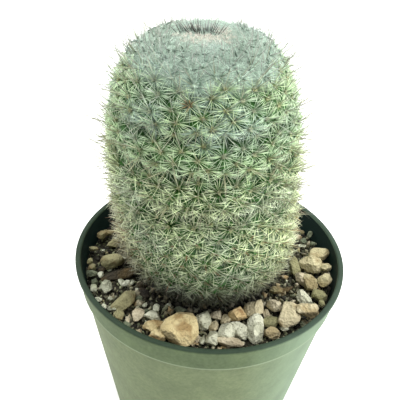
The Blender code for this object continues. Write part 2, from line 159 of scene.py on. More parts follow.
def new_finish(name):
    """An empty material, its tree and its Principled shader."""
    finish = bpy.data.materials.new(name)
    finish.use_nodes = True
    return finish, finish.node_tree, finish.node_tree.nodes["Principled BSDF"]


def new_piece(name, mesh, finish):
    """An object in the scene, with its material where it has one already."""
    piece = bpy.data.objects.new(name, mesh)
    bpy.context.scene.collection.objects.link(piece)
    if finish is not None:
        piece.data.materials.append(finish)
    return piece


def as_mesh(name, shape):
    """Turns what was built as a bmesh into a mesh."""
    mesh = bpy.data.meshes.new(name)
    shape.to_mesh(mesh)
    shape.free()
    return mesh


def settle(piece):
    """Turns what the modifiers make into the piece's own plain mesh."""
    depsgraph = bpy.context.evaluated_depsgraph_get()
    made = bpy.data.meshes.new_from_object(
        piece.evaluated_get(depsgraph), preserve_all_data_layers=True, depsgraph=depsgraph)
    piece.modifiers.clear()
    piece.data = made
    return piece


def stand_for(piece, node):
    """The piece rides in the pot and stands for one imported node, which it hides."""
    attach(piece, "root")
    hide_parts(node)


def wall_radius(height):
    """Outer radius of the wall under the collar."""
    return COLLAR_FOOT_RADIUS - COLLAR_STEP - WALL_TAPER * (COLLAR_FOOT - height)


def inner_radius(height):
    """The pot's inside is one straight cone from the floor to the lip."""
    share = (POT_HEIGHT - height) / (POT_HEIGHT - FLOOR_THICKNESS)
    lip_inner = RIM_RADIUS - LIP_WIDTH
    return lip_inner + (wall_radius(0.0) - FLOOR_WALL - lip_inner) * share


def rounded(corners):
    """A profile through corners given as radius, height and rounding."""
    points = []
    for i, (radius, height, soft) in enumerate(corners):
        here = Vector((radius, height))
        if not soft:
            points.append(here)
            continue
        back = (Vector(corners[i - 1][:2]) - here).normalized() * soft
        ahead = (Vector(corners[i + 1][:2]) - here).normalized() * soft
        for k in range(EDGE_POINTS + 1):
            t = k / EDGE_POINTS
            points.append(here + back * (1.0 - t) ** 2 + ahead * t ** 2)
    return points


def turned(name, points, sides):
    """A profile turned about the pot's axis. Its outer side runs from top to bottom."""
    mesh = bpy.data.meshes.new(name)
    edges = [(i, i + 1) for i in range(len(points) - 1)]
    mesh.from_pydata([(radius, 0.0, height) for radius, height in points], edges, [])
    piece = new_piece(name, mesh, None)
    screw = piece.modifiers.new("turn", "SCREW")
    screw.steps = sides
    screw.render_steps = sides
    screw.use_merge_vertices = True
    screw.merge_threshold = WELD
    return piece


pot = turned("pot_shell", rounded([
    (0.0, FLOOR_THICKNESS, 0.0),
    (inner_radius(FLOOR_THICKNESS), FLOOR_THICKNESS, 2 * SOFT_EDGE),
    (RIM_RADIUS - LIP_WIDTH, POT_HEIGHT, LIP_EDGE),
    (RIM_RADIUS, POT_HEIGHT, LIP_EDGE),
    (RIM_RADIUS, LIP_FOOT, SOFT_EDGE),
    (COLLAR_TOP_RADIUS, LIP_FOOT, SOFT_EDGE),
    (COLLAR_FOOT_RADIUS, COLLAR_FOOT, SOFT_EDGE),
    (wall_radius(COLLAR_FOOT), COLLAR_FOOT - COLLAR_STEP / 2, SOFT_EDGE),
    (wall_radius(0.0), 0.0, 2 * SOFT_EDGE),
    (0.0, 0.0, 0.0),
]), POT_SIDES)
drains = bpy.data.collections.new("drain_cutters")
bpy.context.scene.collection.children.link(drains)
for i in range(DRAIN_HOLES):
    turn = 2.0 * math.pi * (i + 0.5) / DRAIN_HOLES
    place = (DRAIN_CIRCLE_RADIUS * math.cos(turn), DRAIN_CIRCLE_RADIUS * math.sin(turn), 0.0)
    hole = bmesh.new()
    bmesh.ops.create_cone(
        hole, cap_ends=True, segments=DRAIN_SIDES, radius1=DRAIN_RADIUS, radius2=DRAIN_RADIUS,
        depth=4 * FLOOR_THICKNESS, matrix=Matrix.Translation(place))
    drains.objects.link(bpy.data.objects.new(f"drain_cutter_{i}", as_mesh("drain_cutter", hole)))
cut = pot.modifiers.new("drain_holes", "BOOLEAN")
cut.operand_type = "COLLECTION"
cut.collection = drains
settle(pot)
for tool in list(drains.objects):
    bpy.data.objects.remove(tool)
bpy.data.collections.remove(drains)
pot.data.shade_smooth()
pot.data.set_sharp_from_angle(angle=SHARP_FROM)

# Moulded polypropylene: an even, slightly waxy gloss over dark green. A matt mineral film lies on the outside
# in soft blotches a centimetre across and in fine grain, worn off the lip's top. Towards the right it is
# painted paler as a painted reflection, it is painted lighter on the wall under the step than on the collar
# as painted light, and a pale line along the collar's step is a painted highlight on its edge.
polypropylene, tree, shader = new_finish("moulded_polypropylene")
place = add(tree, "ShaderNodeTexCoord", out="Object")
sideways, _, height = (add(tree, "ShaderNodeSeparateXYZ", {0: place}, out=axis) for axis in "XYZ")
across = add(tree, "ShaderNodeVectorMath", {0: place, 1: (1.0, 1.0, 0.0)}, operation="MULTIPLY")
radius = add(tree, "ShaderNodeVectorMath", {0: across}, out="Value", operation="LENGTH")
middle_of_wall = add(tree, "ShaderNodeMapRange", {
    "Value": height, "From Min": 0.0, "From Max": POT_HEIGHT,
    "To Min": wall_radius(0.0) - FLOOR_WALL / 2, "To Max": COLLAR_TOP_RADIUS - LIP_WIDTH / 2})
outside = add(tree, "ShaderNodeMath", {0: radius, 1: middle_of_wall}, operation="GREATER_THAN")
off_top = add(tree, "ShaderNodeMapRange", {
    "Value": height, "From Min": POT_HEIGHT - 0.0002, "From Max": POT_HEIGHT - 0.0010, "To Min": 0.2})
blotches = add(tree, "ShaderNodeTexNoise", {
    "Vector": place, "Scale": 1 / BLOTCH_WIDTH, "Detail": 5.0, "Roughness": 0.62})
grain = add(tree, "ShaderNodeTexNoise", {"Vector": place, "Scale": 1 / FILM_GRAIN, "Detail": 3.0})
film = add(tree, "ShaderNodeMapRange", {
    "Value": blotches, "From Min": 0.25, "From Max": 0.7, "To Min": 0.62, "To Max": 0.92})
for mask in (outside, off_top):
    film = add(tree, "ShaderNodeMath", {0: film, 1: mask}, operation="MULTIPLY")
# Under the collar's step the film is painted lighter than on the collar, as painted light.
on_wall = (height, COLLAR_FOOT + 0.0004, COLLAR_FOOT - 0.0006, 1.0)
base = layered(tree, linear("4e5c3e"), [(*on_wall, "606d4c")])
pale = layered(tree, linear("6c7c58"), [(*on_wall, "7e8966")])
film_colour = add(tree, "ShaderNodeMix", {0: grain, 6: base, 7: pale}, **COLOUR_MIX)
# Towards the right the film is painted paler, as a painted reflection of the light from that side.
film_colour = layered(tree, film_colour, [(sideways, 0.014, 0.034, 0.8, "7b9177")])
plastic = add(tree, "ShaderNodeMix", {0: blotches, 6: linear("0d1a17"), 7: linear("182a27")}, **COLOUR_MIX)
colour = add(tree, "ShaderNodeMix", {0: film, 6: plastic, 7: film_colour}, **COLOUR_MIX)
# A thin pale line at the collar's step is a painted highlight on its edge.
from_step = add(tree, "ShaderNodeMath", {0: height, 1: STEP_HIGHLIGHT_HEIGHT}, operation="SUBTRACT")
from_step = add(tree, "ShaderNodeMath", {0: from_step}, operation="ABSOLUTE")
step_highlight = add(tree, "ShaderNodeMath", {0: outside, 1: 0.45}, operation="MULTIPLY")
feed(shader, {
    "Base Color": layered(tree, colour, [(from_step, 0.0005, 0.0001, step_highlight, "9aa78b")]),
    "Roughness": add(tree, "ShaderNodeMapRange", {"Value": film, "To Min": 0.55, "To Max": 0.62}),
    "Specular IOR Level": 0.11,
    "Normal": add(tree, "ShaderNodeBump", {"Strength": 0.12, "Distance": 0.0004, "Height": grain})})
pot.data.materials.append(polypropylene)
stand_for(pot, "pot")

# Potting mix
# A dark, gritty mix of composted bark, pumice and coarse sand, poured in loose to a centimetre under the rim.
# Its top is uneven and covered in loose grains, with more pumice and bark showing on the left.
GAP = 0.0003
SOIL_TOP = POT_HEIGHT - 0.0095
SOIL_FOOT = FLOOR_THICKNESS + GAP
SOIL_RADIUS = inner_radius(SOIL_TOP) - GAP
SOIL_RINGS = 64
SOIL_SIDES = 150
SWELL_HEIGHT = 0.0007
SWELL_WIDTH = 0.011
CRUMBLE_HEIGHT = 0.0006
CRUMBLE_WIDTH = 0.0022
CRUMBLE_DETAIL = (0.6, 2.0, 4)  # roughness, step between octaves, and octaves
PLANT_AXIS_Y = -0.004
# The plant's painted shade on the mix is full inside the first radius and gone past the second.
FOOT_SHADE_RADIUS = 0.020
FOOT_LIT_RADIUS = 0.027
CRUMB_WIDTH = 0.0016
FLECK_WIDTH = 0.0011
CLOUD_WIDTH = 0.0035
STAIN_WIDTH = 0.0061
PIT_WIDTH = 0.0009
MILLIMETRE = 0.001
STONE_GROWTH = 1.12
STONE_SINK = 0.42
STONE_TILT = math.radians(12.0)
STONE_CUTS = 15
CUT_REACH = (0.29, 0.43)  # from the middle of a ball one across
STONE_TINTS = (0.2, 0.8)
STONE_FINENESS = 4
STONE_SWELL = 1.1
LUMPS = 2.2
LUMP_HEIGHT = 0.17
BUMPS = 3.3  # to each lump
BUMP_HEIGHT = 0.07
HEAP_START = 0.040
HEAP_RISE = 0.35
BITS_FOOT = SOIL_TOP + 0.0006
SOIL_RANDOM = random.Random(12)


def new_growth(name, sockets):
    """A Geometry Nodes tree with named inputs: the tree and what it is given."""
    made = bpy.data.node_groups.new(name, "GeometryNodeTree")
    made.interface.new_socket("Geometry", in_out="INPUT", socket_type="NodeSocketGeometry")
    for label, kind in sockets.items():
        made.interface.new_socket(label, in_out="INPUT", socket_type="NodeSocket" + kind)
    made.interface.new_socket("Geometry", in_out="OUTPUT", socket_type="NodeSocketGeometry")
    return made, made.nodes.new("NodeGroupInput").outputs


def end_growth(tree, shape, finish):
    """Ends a tree: instances made real, shaded smooth and given their material."""
    real = add(tree, "GeometryNodeRealizeInstances", {0: shape})
    smooth = add(tree, "GeometryNodeSetShadeSmooth", {0: real})
    dressed = add(tree, "GeometryNodeSetMaterial", {0: smooth, "Material": finish})
    add(tree, "NodeGroupOutput", {0: dressed})


def grow(name, mesh, tree, values):
    """Runs a tree on a mesh, with its inputs by name, and keeps the result as a plain mesh."""
    piece = new_piece(name, mesh, None)
    modifier = piece.modifiers.new("grow", "NODES")
    modifier.node_group = tree
    for socket in tree.interface.items_tree:
        if socket.in_out == "INPUT" and socket.name in values:
            modifier[socket.identifier] = values[socket.name]
    return settle(piece)


def dimmed(tree, colour, share):
    """The colour, made darker or brighter by a share of itself."""
    grey = add(tree, "ShaderNodeCombineXYZ", {"X": share, "Y": share, "Z": share})
    return add(tree, "ShaderNodeMix", {0: 1.0, 6: colour, 7: grey}, blend_type="MULTIPLY", **COLOUR_MIX)


def foot_shade(tree, place, colour):
    """The colour, painted darker near the stem's foot as the plant's shade on the mix."""
    away = add(tree, "ShaderNodeVectorMath", {0: place, 1: (0.0, PLANT_AXIS_Y, 0.0)}, operation="SUBTRACT")
    away = add(tree, "ShaderNodeVectorMath", {0: away, 1: (1.0, 1.0, 0.0)}, operation="MULTIPLY")
    away = add(tree, "ShaderNodeVectorMath", {0: away}, out="Value", operation="LENGTH")
    return dimmed(tree, colour, add(tree, "ShaderNodeMapRange", {
        "Value": away, "From Min": FOOT_SHADE_RADIUS, "From Max": FOOT_LIT_RADIUS, "To Min": 0.22}))


profile = [Vector((SOIL_RADIUS * i / SOIL_RINGS, SOIL_TOP)) for i in range(SOIL_RINGS + 1)]
profile += [Vector((inner_radius(SOIL_FOOT) - GAP, SOIL_FOOT)), Vector((0.0, SOIL_FOOT))]
soil = settle(turned("potting_mix", profile, SOIL_SIDES))
for vertex in soil.data.vertices:
    if vertex.co.z > SOIL_TOP - GAP:
        swell = noise.noise(vertex.co / SWELL_WIDTH)
        crumble = noise.fractal(vertex.co / CRUMBLE_WIDTH, *CRUMBLE_DETAIL)
        vertex.co.z += SWELL_HEIGHT * swell + CRUMBLE_HEIGHT * crumble
soil.data.shade_smooth()

# Composted bark: almost black brown, dull and damp, with lighter flecks of sand half a millimetre across.
compost, tree, shader = new_finish("composted_bark_mix")
place = add(tree, "ShaderNodeTexCoord", out="Object")
crumbs = add(tree, "ShaderNodeTexNoise", {
    "Vector": place, "Scale": 1 / CRUMB_WIDTH, "Detail": 6.0, "Roughness": 0.7})
flecks = add(tree, "ShaderNodeTexVoronoi", {"Vector": place, "Scale": 1 / FLECK_WIDTH}, out="Distance")
dark = add(tree, "ShaderNodeMix", {0: crumbs, 6: linear("0c0b06"), 7: linear("37341f")}, **COLOUR_MIX)
feed(shader, {
    # Near the stem's foot the mix is painted darker as the plant's shade.
    "Base Color": foot_shade(tree, place, layered(tree, dark, [(flecks, 0.22, 0.08, 0.55, "6a6748")])),
    "Roughness": 0.93,
    "Normal": add(tree, "ShaderNodeBump", {"Strength": 0.8, "Distance": 0.0008, "Height": crumbs})})
soil.data.materials.append(compost)
stand_for(soil, "soil")

# Loose grains lie on the mix as they fell. One tree scatters a few grain sizes, each in its own rock.
scatter, given = new_growth("loose_grains", {
    "Grain": "Float", "Apart": "Float", "Density": "Float", "Roundness": "Int", "Seed": "Int",
    "Material": "Material"})
spots = add(scatter, "GeometryNodeDistributePointsOnFaces", {
    "Mesh": given["Geometry"], "Distance Min": given["Apart"], "Density Max": given["Density"],
    "Seed": given["Seed"]}, distribute_method="POISSON")
tint = add(scatter, "FunctionNodeRandomValue", {"Seed": given["Seed"]}, out=1)
spots = add(scatter, "GeometryNodeStoreNamedAttribute", {"Geometry": spots, "Name": "tint", "Value": tint})
pebble = add(scatter, "GeometryNodeMeshIcoSphere", {"Radius": 0.5, "Subdivisions": given["Roundness"]})
wobble = add(scatter, "ShaderNodeTexNoise", {"Scale": 1.7, "Detail": 0.0}, out="Color")
centred = add(scatter, "ShaderNodeVectorMath", {0: wobble, 1: (0.5, 0.5, 0.5)}, operation="SUBTRACT")
pebble = add(scatter, "GeometryNodeSetPosition", {"Geometry": pebble, "Offset": centred})
turns = add(scatter, "FunctionNodeRandomValue", {
    0: (0.0, 0.0, 0.0), 1: (6.3, 6.3, 6.3), "Seed": given["Seed"]}, data_type="FLOAT_VECTOR")
stretch = add(scatter, "FunctionNodeRandomValue", {
    0: (0.5, 0.45, 0.4), 1: (1.5, 1.3, 0.9), "Seed": given["Seed"]}, data_type="FLOAT_VECTOR")
sizes = add(scatter, "ShaderNodeVectorMath", {0: stretch, "Scale": given["Grain"]}, operation="SCALE")
grains = add(scatter, "GeometryNodeInstanceOnPoints", {
    "Points": spots, "Instance": pebble, "Rotation": turns, "Scale": sizes})
end_growth(scatter, grains, given["Material"])


def rock_finish(name, body, light, stain, pits):
    """Broken rock: soft colour clouds 3 mm across, stains, fine pits and a dry, dusty surface, painted darker
    near the stem's foot as the plant's shade.
    """
    finish, tree, shader = new_finish(name)
    place = add(tree, "ShaderNodeTexCoord", out="Object")
    tint = add(tree, "ShaderNodeAttribute", out="Fac", attribute_name="tint")
    clouds = add(tree, "ShaderNodeTexNoise", {
        "Vector": place, "Scale": 1 / CLOUD_WIDTH, "Detail": 6.0, "Roughness": 0.65})
    stains = add(tree, "ShaderNodeTexNoise", {"Vector": place, "Scale": 1 / STAIN_WIDTH, "Detail": 2.0})
    dots = add(tree, "ShaderNodeTexVoronoi", {"Vector": place, "Scale": 1 / PIT_WIDTH}, out="Distance")
    cloud = add(tree, "ShaderNodeMath", {0: clouds, 1: tint}, operation="ADD")
    colour = layered(tree, linear(body), [
        (cloud, 0.6, 1.4, 1.0, light), (stains, 0.5, 0.64, 0.85, stain), (dots, 0.3, 0.12, pits, "45402f")])
    rough = add(tree, "ShaderNodeMath", {0: clouds, 1: dots}, operation="ADD")
    feed(shader, {
        "Base Color": foot_shade(tree, place, colour), "Roughness": 0.85,
        "Normal": add(tree, "ShaderNodeBump", {"Strength": 0.7, "Distance": 0.0006, "Height": rough})})
    return finish


def strew(name, ground, node, grain, apart, roundness, seed, colours):
    """Grains of one size and rock, scattered over a piece of ground and kept apart."""
    grains = grow(name, ground, scatter, {
        "Grain": grain, "Apart": apart, "Density": 3.0 / apart ** 2, "Roundness": roundness, "Seed": seed,
        "Material": rock_finish(name + "_rock", *colours)})
    stand_for(grains, node)


def broken_stone(shape, size, place, foot, turn, draw):
    """Adds one stone to a mesh: a ball cut by broken faces, with worn edges and an uneven skin."""
    cuts = []
    for _ in range(STONE_CUTS):
        cuts.append((Vector((draw.gauss(0, 1), draw.gauss(0, 1), draw.gauss(0, 1))).normalized(),
                     draw.uniform(*CUT_REACH)))
    seat = Vector((draw.uniform(0, 50), draw.uniform(0, 50), draw.uniform(0, 50)))
    tint = draw.uniform(*STONE_TINTS)
    stand = (
        Matrix.Translation((place.x, place.y, foot + size.z * STONE_SINK))
        @ Matrix.Rotation(turn, 4, "Z")
        @ Matrix.Rotation(draw.uniform(-STONE_TILT, STONE_TILT), 4, "X")
        @ Matrix.Diagonal((*size, 1.0))
    )
    layer = shape.verts.layers.float.get("tint") or shape.verts.layers.float.new("tint")
    ball = bmesh.ops.create_icosphere(shape, subdivisions=STONE_FINENESS, radius=0.5)["verts"]
    for vertex in ball:
        for normal, reach in cuts:
            beyond = vertex.co.dot(normal) - reach
            if beyond > 0.0:
                vertex.co -= normal * beyond
        point = vertex.co * LUMPS + seat
        vertex.co *= STONE_SWELL + LUMP_HEIGHT * noise.noise(point) + BUMP_HEIGHT * noise.noise(point * BUMPS)
        vertex.co = stand @ vertex.co
        vertex[layer] = tint


def lay_stones(name, node, stones, foot, flatness, finish, draw):
    """One piece of all the stones of a kind, heaped a little towards the wall and kept inside the pot."""
    shape = bmesh.new()
    for across, along, length, width, turn in stones:
        size = Vector((length, width, width * flatness)) * MILLIMETRE * STONE_GROWTH
        place = Vector((across, along)) * MILLIMETRE
        heaped = foot + HEAP_RISE * max(place.length - HEAP_START, 0.0)
        place *= min(1.0, (inner_radius(heaped) - 2 * GAP - size.y / 2) / place.length)
        broken_stone(shape, size, place, heaped, math.radians(turn), draw)
    mesh = as_mesh(name, shape)
    mesh.shade_smooth()
    stand_for(new_piece(name, mesh, finish), node)


top = bmesh.new()
top.from_mesh(soil.data)
below = [face for face in top.faces if face.normal.z < 0.2 or face.calc_center_median().z < SOIL_TOP - 0.004]
bmesh.ops.delete(top, geom=below, context="FACES")
soil_top = as_mesh("soil_top", top)
# grain, distance apart, roundness and seed, then the rock's body, light and stain colours and its pits
strew("compost_crumbs", soil_top, "soil", 0.0023, 0.0019, 1, 3, ("15130c", "3c3826", "2b2a20", 0.0))
strew("pumice_grit", soil_top, "soil", 0.0014, 0.0017, 1, 8, ("2c3220", "b0b68e", "5d6a48", 0.3))
strew("coarse_sand", soil_top, "soil", 0.0021, 0.0046, 1, 13, ("6c6444", "aea57a", "85734a", 0.2))
strew("perlite", soil_top, "soil", 0.0030, 0.0068, 2, 21, ("8a8e72", "cfd2b8", "a6aa8c", 0.2))

# Larger bits of the mix, most of them on the left, where no gravel covers it: perlite, pumice and pine bark.
# A kind has its flatness and its rock. A bit has its place across and along the pot, length and width in
# millimetres, and turn in degrees.
SOIL_BITS = {
    "large_perlite": (0.8, ("9fa38a", "d6d8c2", "8c9276", 0.1), (
        (-37.3, -18.7, 5.8, 4.6, 60), (-41.4, -20.6, 3.2, 2.6, 80), (-32.3, -13.8, 3.4, 1.9, 115),
        (-30.4, -14.2, 3.4, 1.9, 55), (-28.2, -13.2, 2.4, 1.6, 90), (-40.5, -11.1, 3, 2.2, 90),
        (-25.5, -17, 2, 1.7, 0), (-35.8, -29.1, 2.8, 2, -30), (-37.6, -14.4, 2.4, 2, 0),
        (-33.1, -28.4, 2.7, 2, 0), (-17.7, -26, 3.2, 2.6, 90), (-13.2, -23.6, 1.9, 1.6, 0),
        (-34.5, -23, 1.9, 1.5, 0), (-22, -24.5, 1.8, 1.4, 40), (-38.5, -25.5, 2.2, 1.7, 0))),
    # Pumice in darker tones, partly painted shade: the stones at the right back lie in the plant's shadow.
    "weathered_pumice": (0.7, ("4c5540", "848b6f", "3d4431", 0.2), (
        (38.6, 18.2, 3, 2.4, 60), (41, 21, 3.6, 2.2, 60), (42, 15.6, 2.8, 2, 0),
        (31, 21, 3.2, 2.2, 30), (-41.7, -16.7, 3.4, 2.6, 90), (-44.3, -12.5, 4.2, 2.8, 0),
        (-8.9, -26.1, 3.8, 3.2, 0), (-24.6, -21.6, 3, 2.4, 30), (-21, -27.4, 2.8, 2, 0),
        (-26.5, -36, 3, 2.4, 0))),
    "tan_pumice": (0.8, ("605c3d", "9a966e", "70603d", 0.3), (
        (-44.4, 10, 4.4, 3.8, 60), (-42, 13, 4, 2.8, 0), (-38.9, 6.9, 5, 4, 20),
        (-36.9, -4.1, 8.2, 6.6, 40), (-45.8, 1.4, 3.5, 2.4, 20), (-46, -6.4, 3, 2.4, 90),
        (-44.2, -9.4, 3.6, 3, 70), (-29.2, -24, 10.6, 5.4, 52), (-29.9, -32.1, 4.6, 3.4, 80),
        (-36, 20, 4.5, 3.4, 0), (-30, 27, 4, 3.6, 50), (-15, 38, 5, 3.6, 20),
        (4, 40, 4.4, 3.2, 0), (22, 34, 5, 4, 40), (34, 25, 4.2, 3.2, 0),
        (25.8, -12.3, 4.4, 3.6, 20))),
    "pine_bark": (0.45, ("1c180c", "463c24", "544422", 0.1), (
        (-33.4, -9.8, 12, 4, 30), (-30.4, -8.2, 8.5, 5.2, 15), (-34.5, 10.5, 6, 3, 80),
        (-24.9, -14.2, 3.8, 3, -20), (-23, -18.3, 4.6, 3.2, -40), (-40.5, -6.4, 4.6, 2.6, 80),
        (-33, 16, 7, 3.6, 10), (-21, 33, 8, 4, 30), (14, 39, 7.5, 3.4, -20),
        (29, 29, 7, 3.6, 60), (30, -10.5, 5, 2.6, 30), (27, 15, 6, 3, 80))),
}
for name, (flatness, colours, stones) in SOIL_BITS.items():
    finish = rock_finish(name + "_rock", *colours)
    lay_stones(name, "soil", stones, BITS_FOOT, flatness, finish, SOIL_RANDOM)

# Gravel
# A top dressing of washed river gravel in mixed rock, 3 to 15 mm across, laid by hand along the front and the
# right on a thin bed of grit. Each stone is worn round but keeps some broken faces.
BED_TOP = SOIL_TOP + 0.0007
BED_START = math.radians(-155.0)
BED_END = math.radians(36.0)
BED_INNER_RADIUS = 0.0205
BED_OUTER_RADIUS = SOIL_RADIUS - 0.001
BED_STEPS = 60
STONE_FLATNESS = 0.82
GRAVEL_RANDOM = random.Random(5)
# the rock, then each stone's place across and along the pot, length and width in millimetres, turn in degrees
STONES = {
    "ochre_limestone": (("a08e60", "d2c598", "82693e", 0.2), (
        (-7.3, -36.4, 14.4, 10.4, 66), (-17, -35.8, 8.2, 5, -8), (-15, -39.9, 5.6, 4, -12))),
    "amber_chert": (("a27a45", "cfb987", "8a5c2e", 0.1), ((11.8, -27, 7, 5.8, 80),)),
    "pink_sandstone": (("aaa084", "cfc5a8", "968a70", 0.25), (
        (4, -27.6, 4.6, 3.8, 0), (9.4, -39.4, 8.6, 3.8, 0), (24.9, -21.3, 5.2, 4.8, 0),
        (22.1, -24.6, 4.4, 2.6, 90), (35.7, -5.2, 7.2, 4.8, 110), (-24, -29.9, 5.2, 4.2, 80),
        (-2.4, -38.6, 3.6, 2.2, 90))),
    "grey_dolomite": (("abac93", "dfdfc9", "8f9078", 0.8), (
        (-0.6, -31.2, 8, 4.8, 85), (3.1, -38.6, 5.8, 4.4, 80), (-0.2, -38.8, 3.2, 2, 90),
        (7.7, -35.6, 6.4, 5.4, 60), (12, -34.3, 7.6, 5, -30), (18.2, -32.8, 11, 6, 84),
        (35.9, -16.1, 7.2, 4.8, 112), (-18.3, -30.3, 5, 3.8, 0), (28, -31, 3, 2.6, 0))),
    "cream_limestone": (("a69c7c", "c6bc9a", "9a8a64", 0.1), (
        (3.4, -33, 4.8, 3.8, 80), (17.8, -23.7, 9, 6, 62), (24, -34.4, 5.6, 4, -15),
        (29.8, -26.4, 9.8, 8, 80), (39, -27, 7.6, 6.4, 25), (7.6, -29, 5, 3.2, 80))),
    # The right cluster's limestone has darker tones, partly its own buff colour and partly painted shade from
    # the plant.
    "buff_limestone": (("9c9470", "c2ba94", "867852", 0.2), (
        (40.6, 2.6, 8.6, 7.6, 20), (44, 7.4, 8.8, 6.2, 20), (38.9, -7.9, 7.6, 5.8, 95),
        (46.5, -8.6, 6.4, 4.6, 80), (44.8, 1, 4, 3.6, 0), (47, 0.2, 3.6, 3.4, 0))),
    "olive_sandstone": (("76744f", "9c9970", "5a583a", 0.3), (
        (23.5, -29.2, 5.8, 4.8, 60), (41.2, -15, 5, 4.6, 0), (33.4, 2, 9.5, 4.2, 100),
        (43.7, -20, 3, 2, 90))),
}
for name, (colours, stones) in STONES.items():
    finish = rock_finish(name, *colours)
    lay_stones("gravel_" + name, "gravel", stones, BED_TOP, STONE_FLATNESS, finish, GRAVEL_RANDOM)

# Grit and chips lie between the stones and hold them.
bed = bmesh.new()
edge = []
for i in range(BED_STEPS + 1):
    turn = BED_START + (BED_END - BED_START) * i / BED_STEPS
    side = Vector((math.cos(turn), math.sin(turn), 0.0))
    up = Vector((0.0, 0.0, BED_TOP))
    edge.append((bed.verts.new(side * BED_INNER_RADIUS + up), bed.verts.new(side * BED_OUTER_RADIUS + up)))
for (near, far), (next_near, next_far) in zip(edge, edge[1:]):
    bed.faces.new((near, far, next_far, next_near))
bed_mesh = as_mesh("gravel_bed", bed)
strew("gravel_grit", bed_mesh, "gravel", 0.0018, 0.0021, 1, 31, ("3f3f30", "a3a184", "7a7359", 0.3))
strew("gravel_chips", bed_mesh, "gravel", 0.0032, 0.0052, 2, 32, ("8c8263", "d0c9ad", "9a7f50", 0.2))

# Stem
# One barrel-shaped stem, green and slightly waxy, covered in conical tubercles in the spirals of a sunflower
# head. It leans a little to the left, pinches in where it meets the mix and is a little narrower where its
# growth has paused each winter.
PLANT_AXIS_X = -0.0006
PLANT_FOOT = POT_HEIGHT - 0.008
PLANT_LEAN = -0.074
PLANT_HEIGHT = 0.095
BARREL_RADIUS = 0.0318
BARREL_FLARE = 0.022
DOME_START = 0.037
DOME_POWER = 3.1
CROWN_SHIFT = 0.0014
CROWN_RAISE = 0.0008
CROWN_RADIUS = 0.022
CROWN_LEVEL = 0.0877
FOOT_RADIUS = 0.0167
FOOT_HEIGHT = 0.022
FOOT_POWER = 1.82
RING_LEVELS = (0.0730, 0.0615, 0.0480)
RING_DEPTH = 0.0021
RING_HALF_WIDTH = 0.0020
STEM_BOTTOM = -0.0035
STEM_DEPTH = 0.0040
CROWN_DEPTH = 0.0034
TUBERCLE_SPACING = 0.0057
CROWN_SPACING = 0.0018
TUBERCLE_HEIGHT = 0.0024
MOTTLE_WIDTH = 0.004
CELL_SHARE = math.sqrt(0.75)  # of the square of the spacing, as in a honeycomb
GOLDEN_ANGLE = math.pi * (3.0 - math.sqrt(5.0))
AREOLE_JITTER = 0.08
AREOLE_SEED = 9
OUTLINE_STEPS = 900
STEM_ROWS = 190
STEM_SIDES = 290
OutlineRow = namedtuple("OutlineRow", "height radius out up along")


def clamp(value, low, high):
    return min(max(value, low), high)


def plant_radius(height):
    """Radius, at a height over the plant's foot, of the surface that the tips of the dense spines make."""
    rise = clamp((height - DOME_START) / (PLANT_HEIGHT - DOME_START), 0.0, 1.0)
    dome = (1.0 - rise ** DOME_POWER) ** (1.0 / DOME_POWER)
    pinch = clamp(1.0 - height / FOOT_HEIGHT, 0.0, 2.0) ** FOOT_POWER
    ring = sum(math.exp(-((height - level) / RING_HALF_WIDTH) ** 2) for level in RING_LEVELS)
    barrel = (BARREL_RADIUS + BARREL_FLARE * height) * dome
    return barrel - (BARREL_RADIUS - FOOT_RADIUS) * pinch - RING_DEPTH * ring


def plant_outline():
    """Samples from the growing point down: height, radius, outward and upward slope, distance along."""
    samples = []
    for i in range(OUTLINE_STEPS + 1):
        turn = math.pi / 2 * i / OUTLINE_STEPS
        height = STEM_BOTTOM + (PLANT_HEIGHT - STEM_BOTTOM) * math.cos(turn) ** 2
        samples.append((height, max(plant_radius(height), 0.0)))
    rows = []
    along = 0.0
    for i, (height, radius) in enumerate(samples):
        before = samples[max(i - 1, 0)]
        after = samples[min(i + 1, OUTLINE_STEPS)]
        across, down = after[1] - before[1], before[0] - after[0]
        slope = math.hypot(across, down)
        along += math.dist(samples[i], samples[i - 1]) if i else 0.0
        rows.append(OutlineRow(height, radius, down / slope, across / slope, along))
    return rows


outline = plant_outline()


def on_stem(row, angle):
    """A point on the stem between its tubercles, and its outward direction."""
    grown = min(row.radius / CROWN_RADIUS, 1.0)
    depth = CROWN_DEPTH + (STEM_DEPTH - CROWN_DEPTH) * grown
    youth = clamp((row.height - DOME_START) / (PLANT_HEIGHT - DOME_START), 0.0, 1.0) ** 2
    raised = CROWN_RAISE * youth * (1.0 + math.cos(angle)) * grown
    axis = Vector((PLANT_AXIS_X + PLANT_LEAN * row.height + CROWN_SHIFT * youth, PLANT_AXIS_Y,
                   PLANT_FOOT + row.height + raised))
    side = Vector((math.cos(angle), math.sin(angle), 0.0))
    reach = max(row.radius - depth * row.out, 0.0)
    outward = Vector((row.out * math.cos(angle), row.out * math.sin(angle), row.up))
    return axis + side * reach - Vector((0.0, 0.0, depth * row.up)), outward


def spacing_at(radius):
    """Distance between tubercles, which are smaller where they are young."""
    return CROWN_SPACING + (TUBERCLE_SPACING - CROWN_SPACING) * min(radius / CROWN_RADIUS, 1.0)


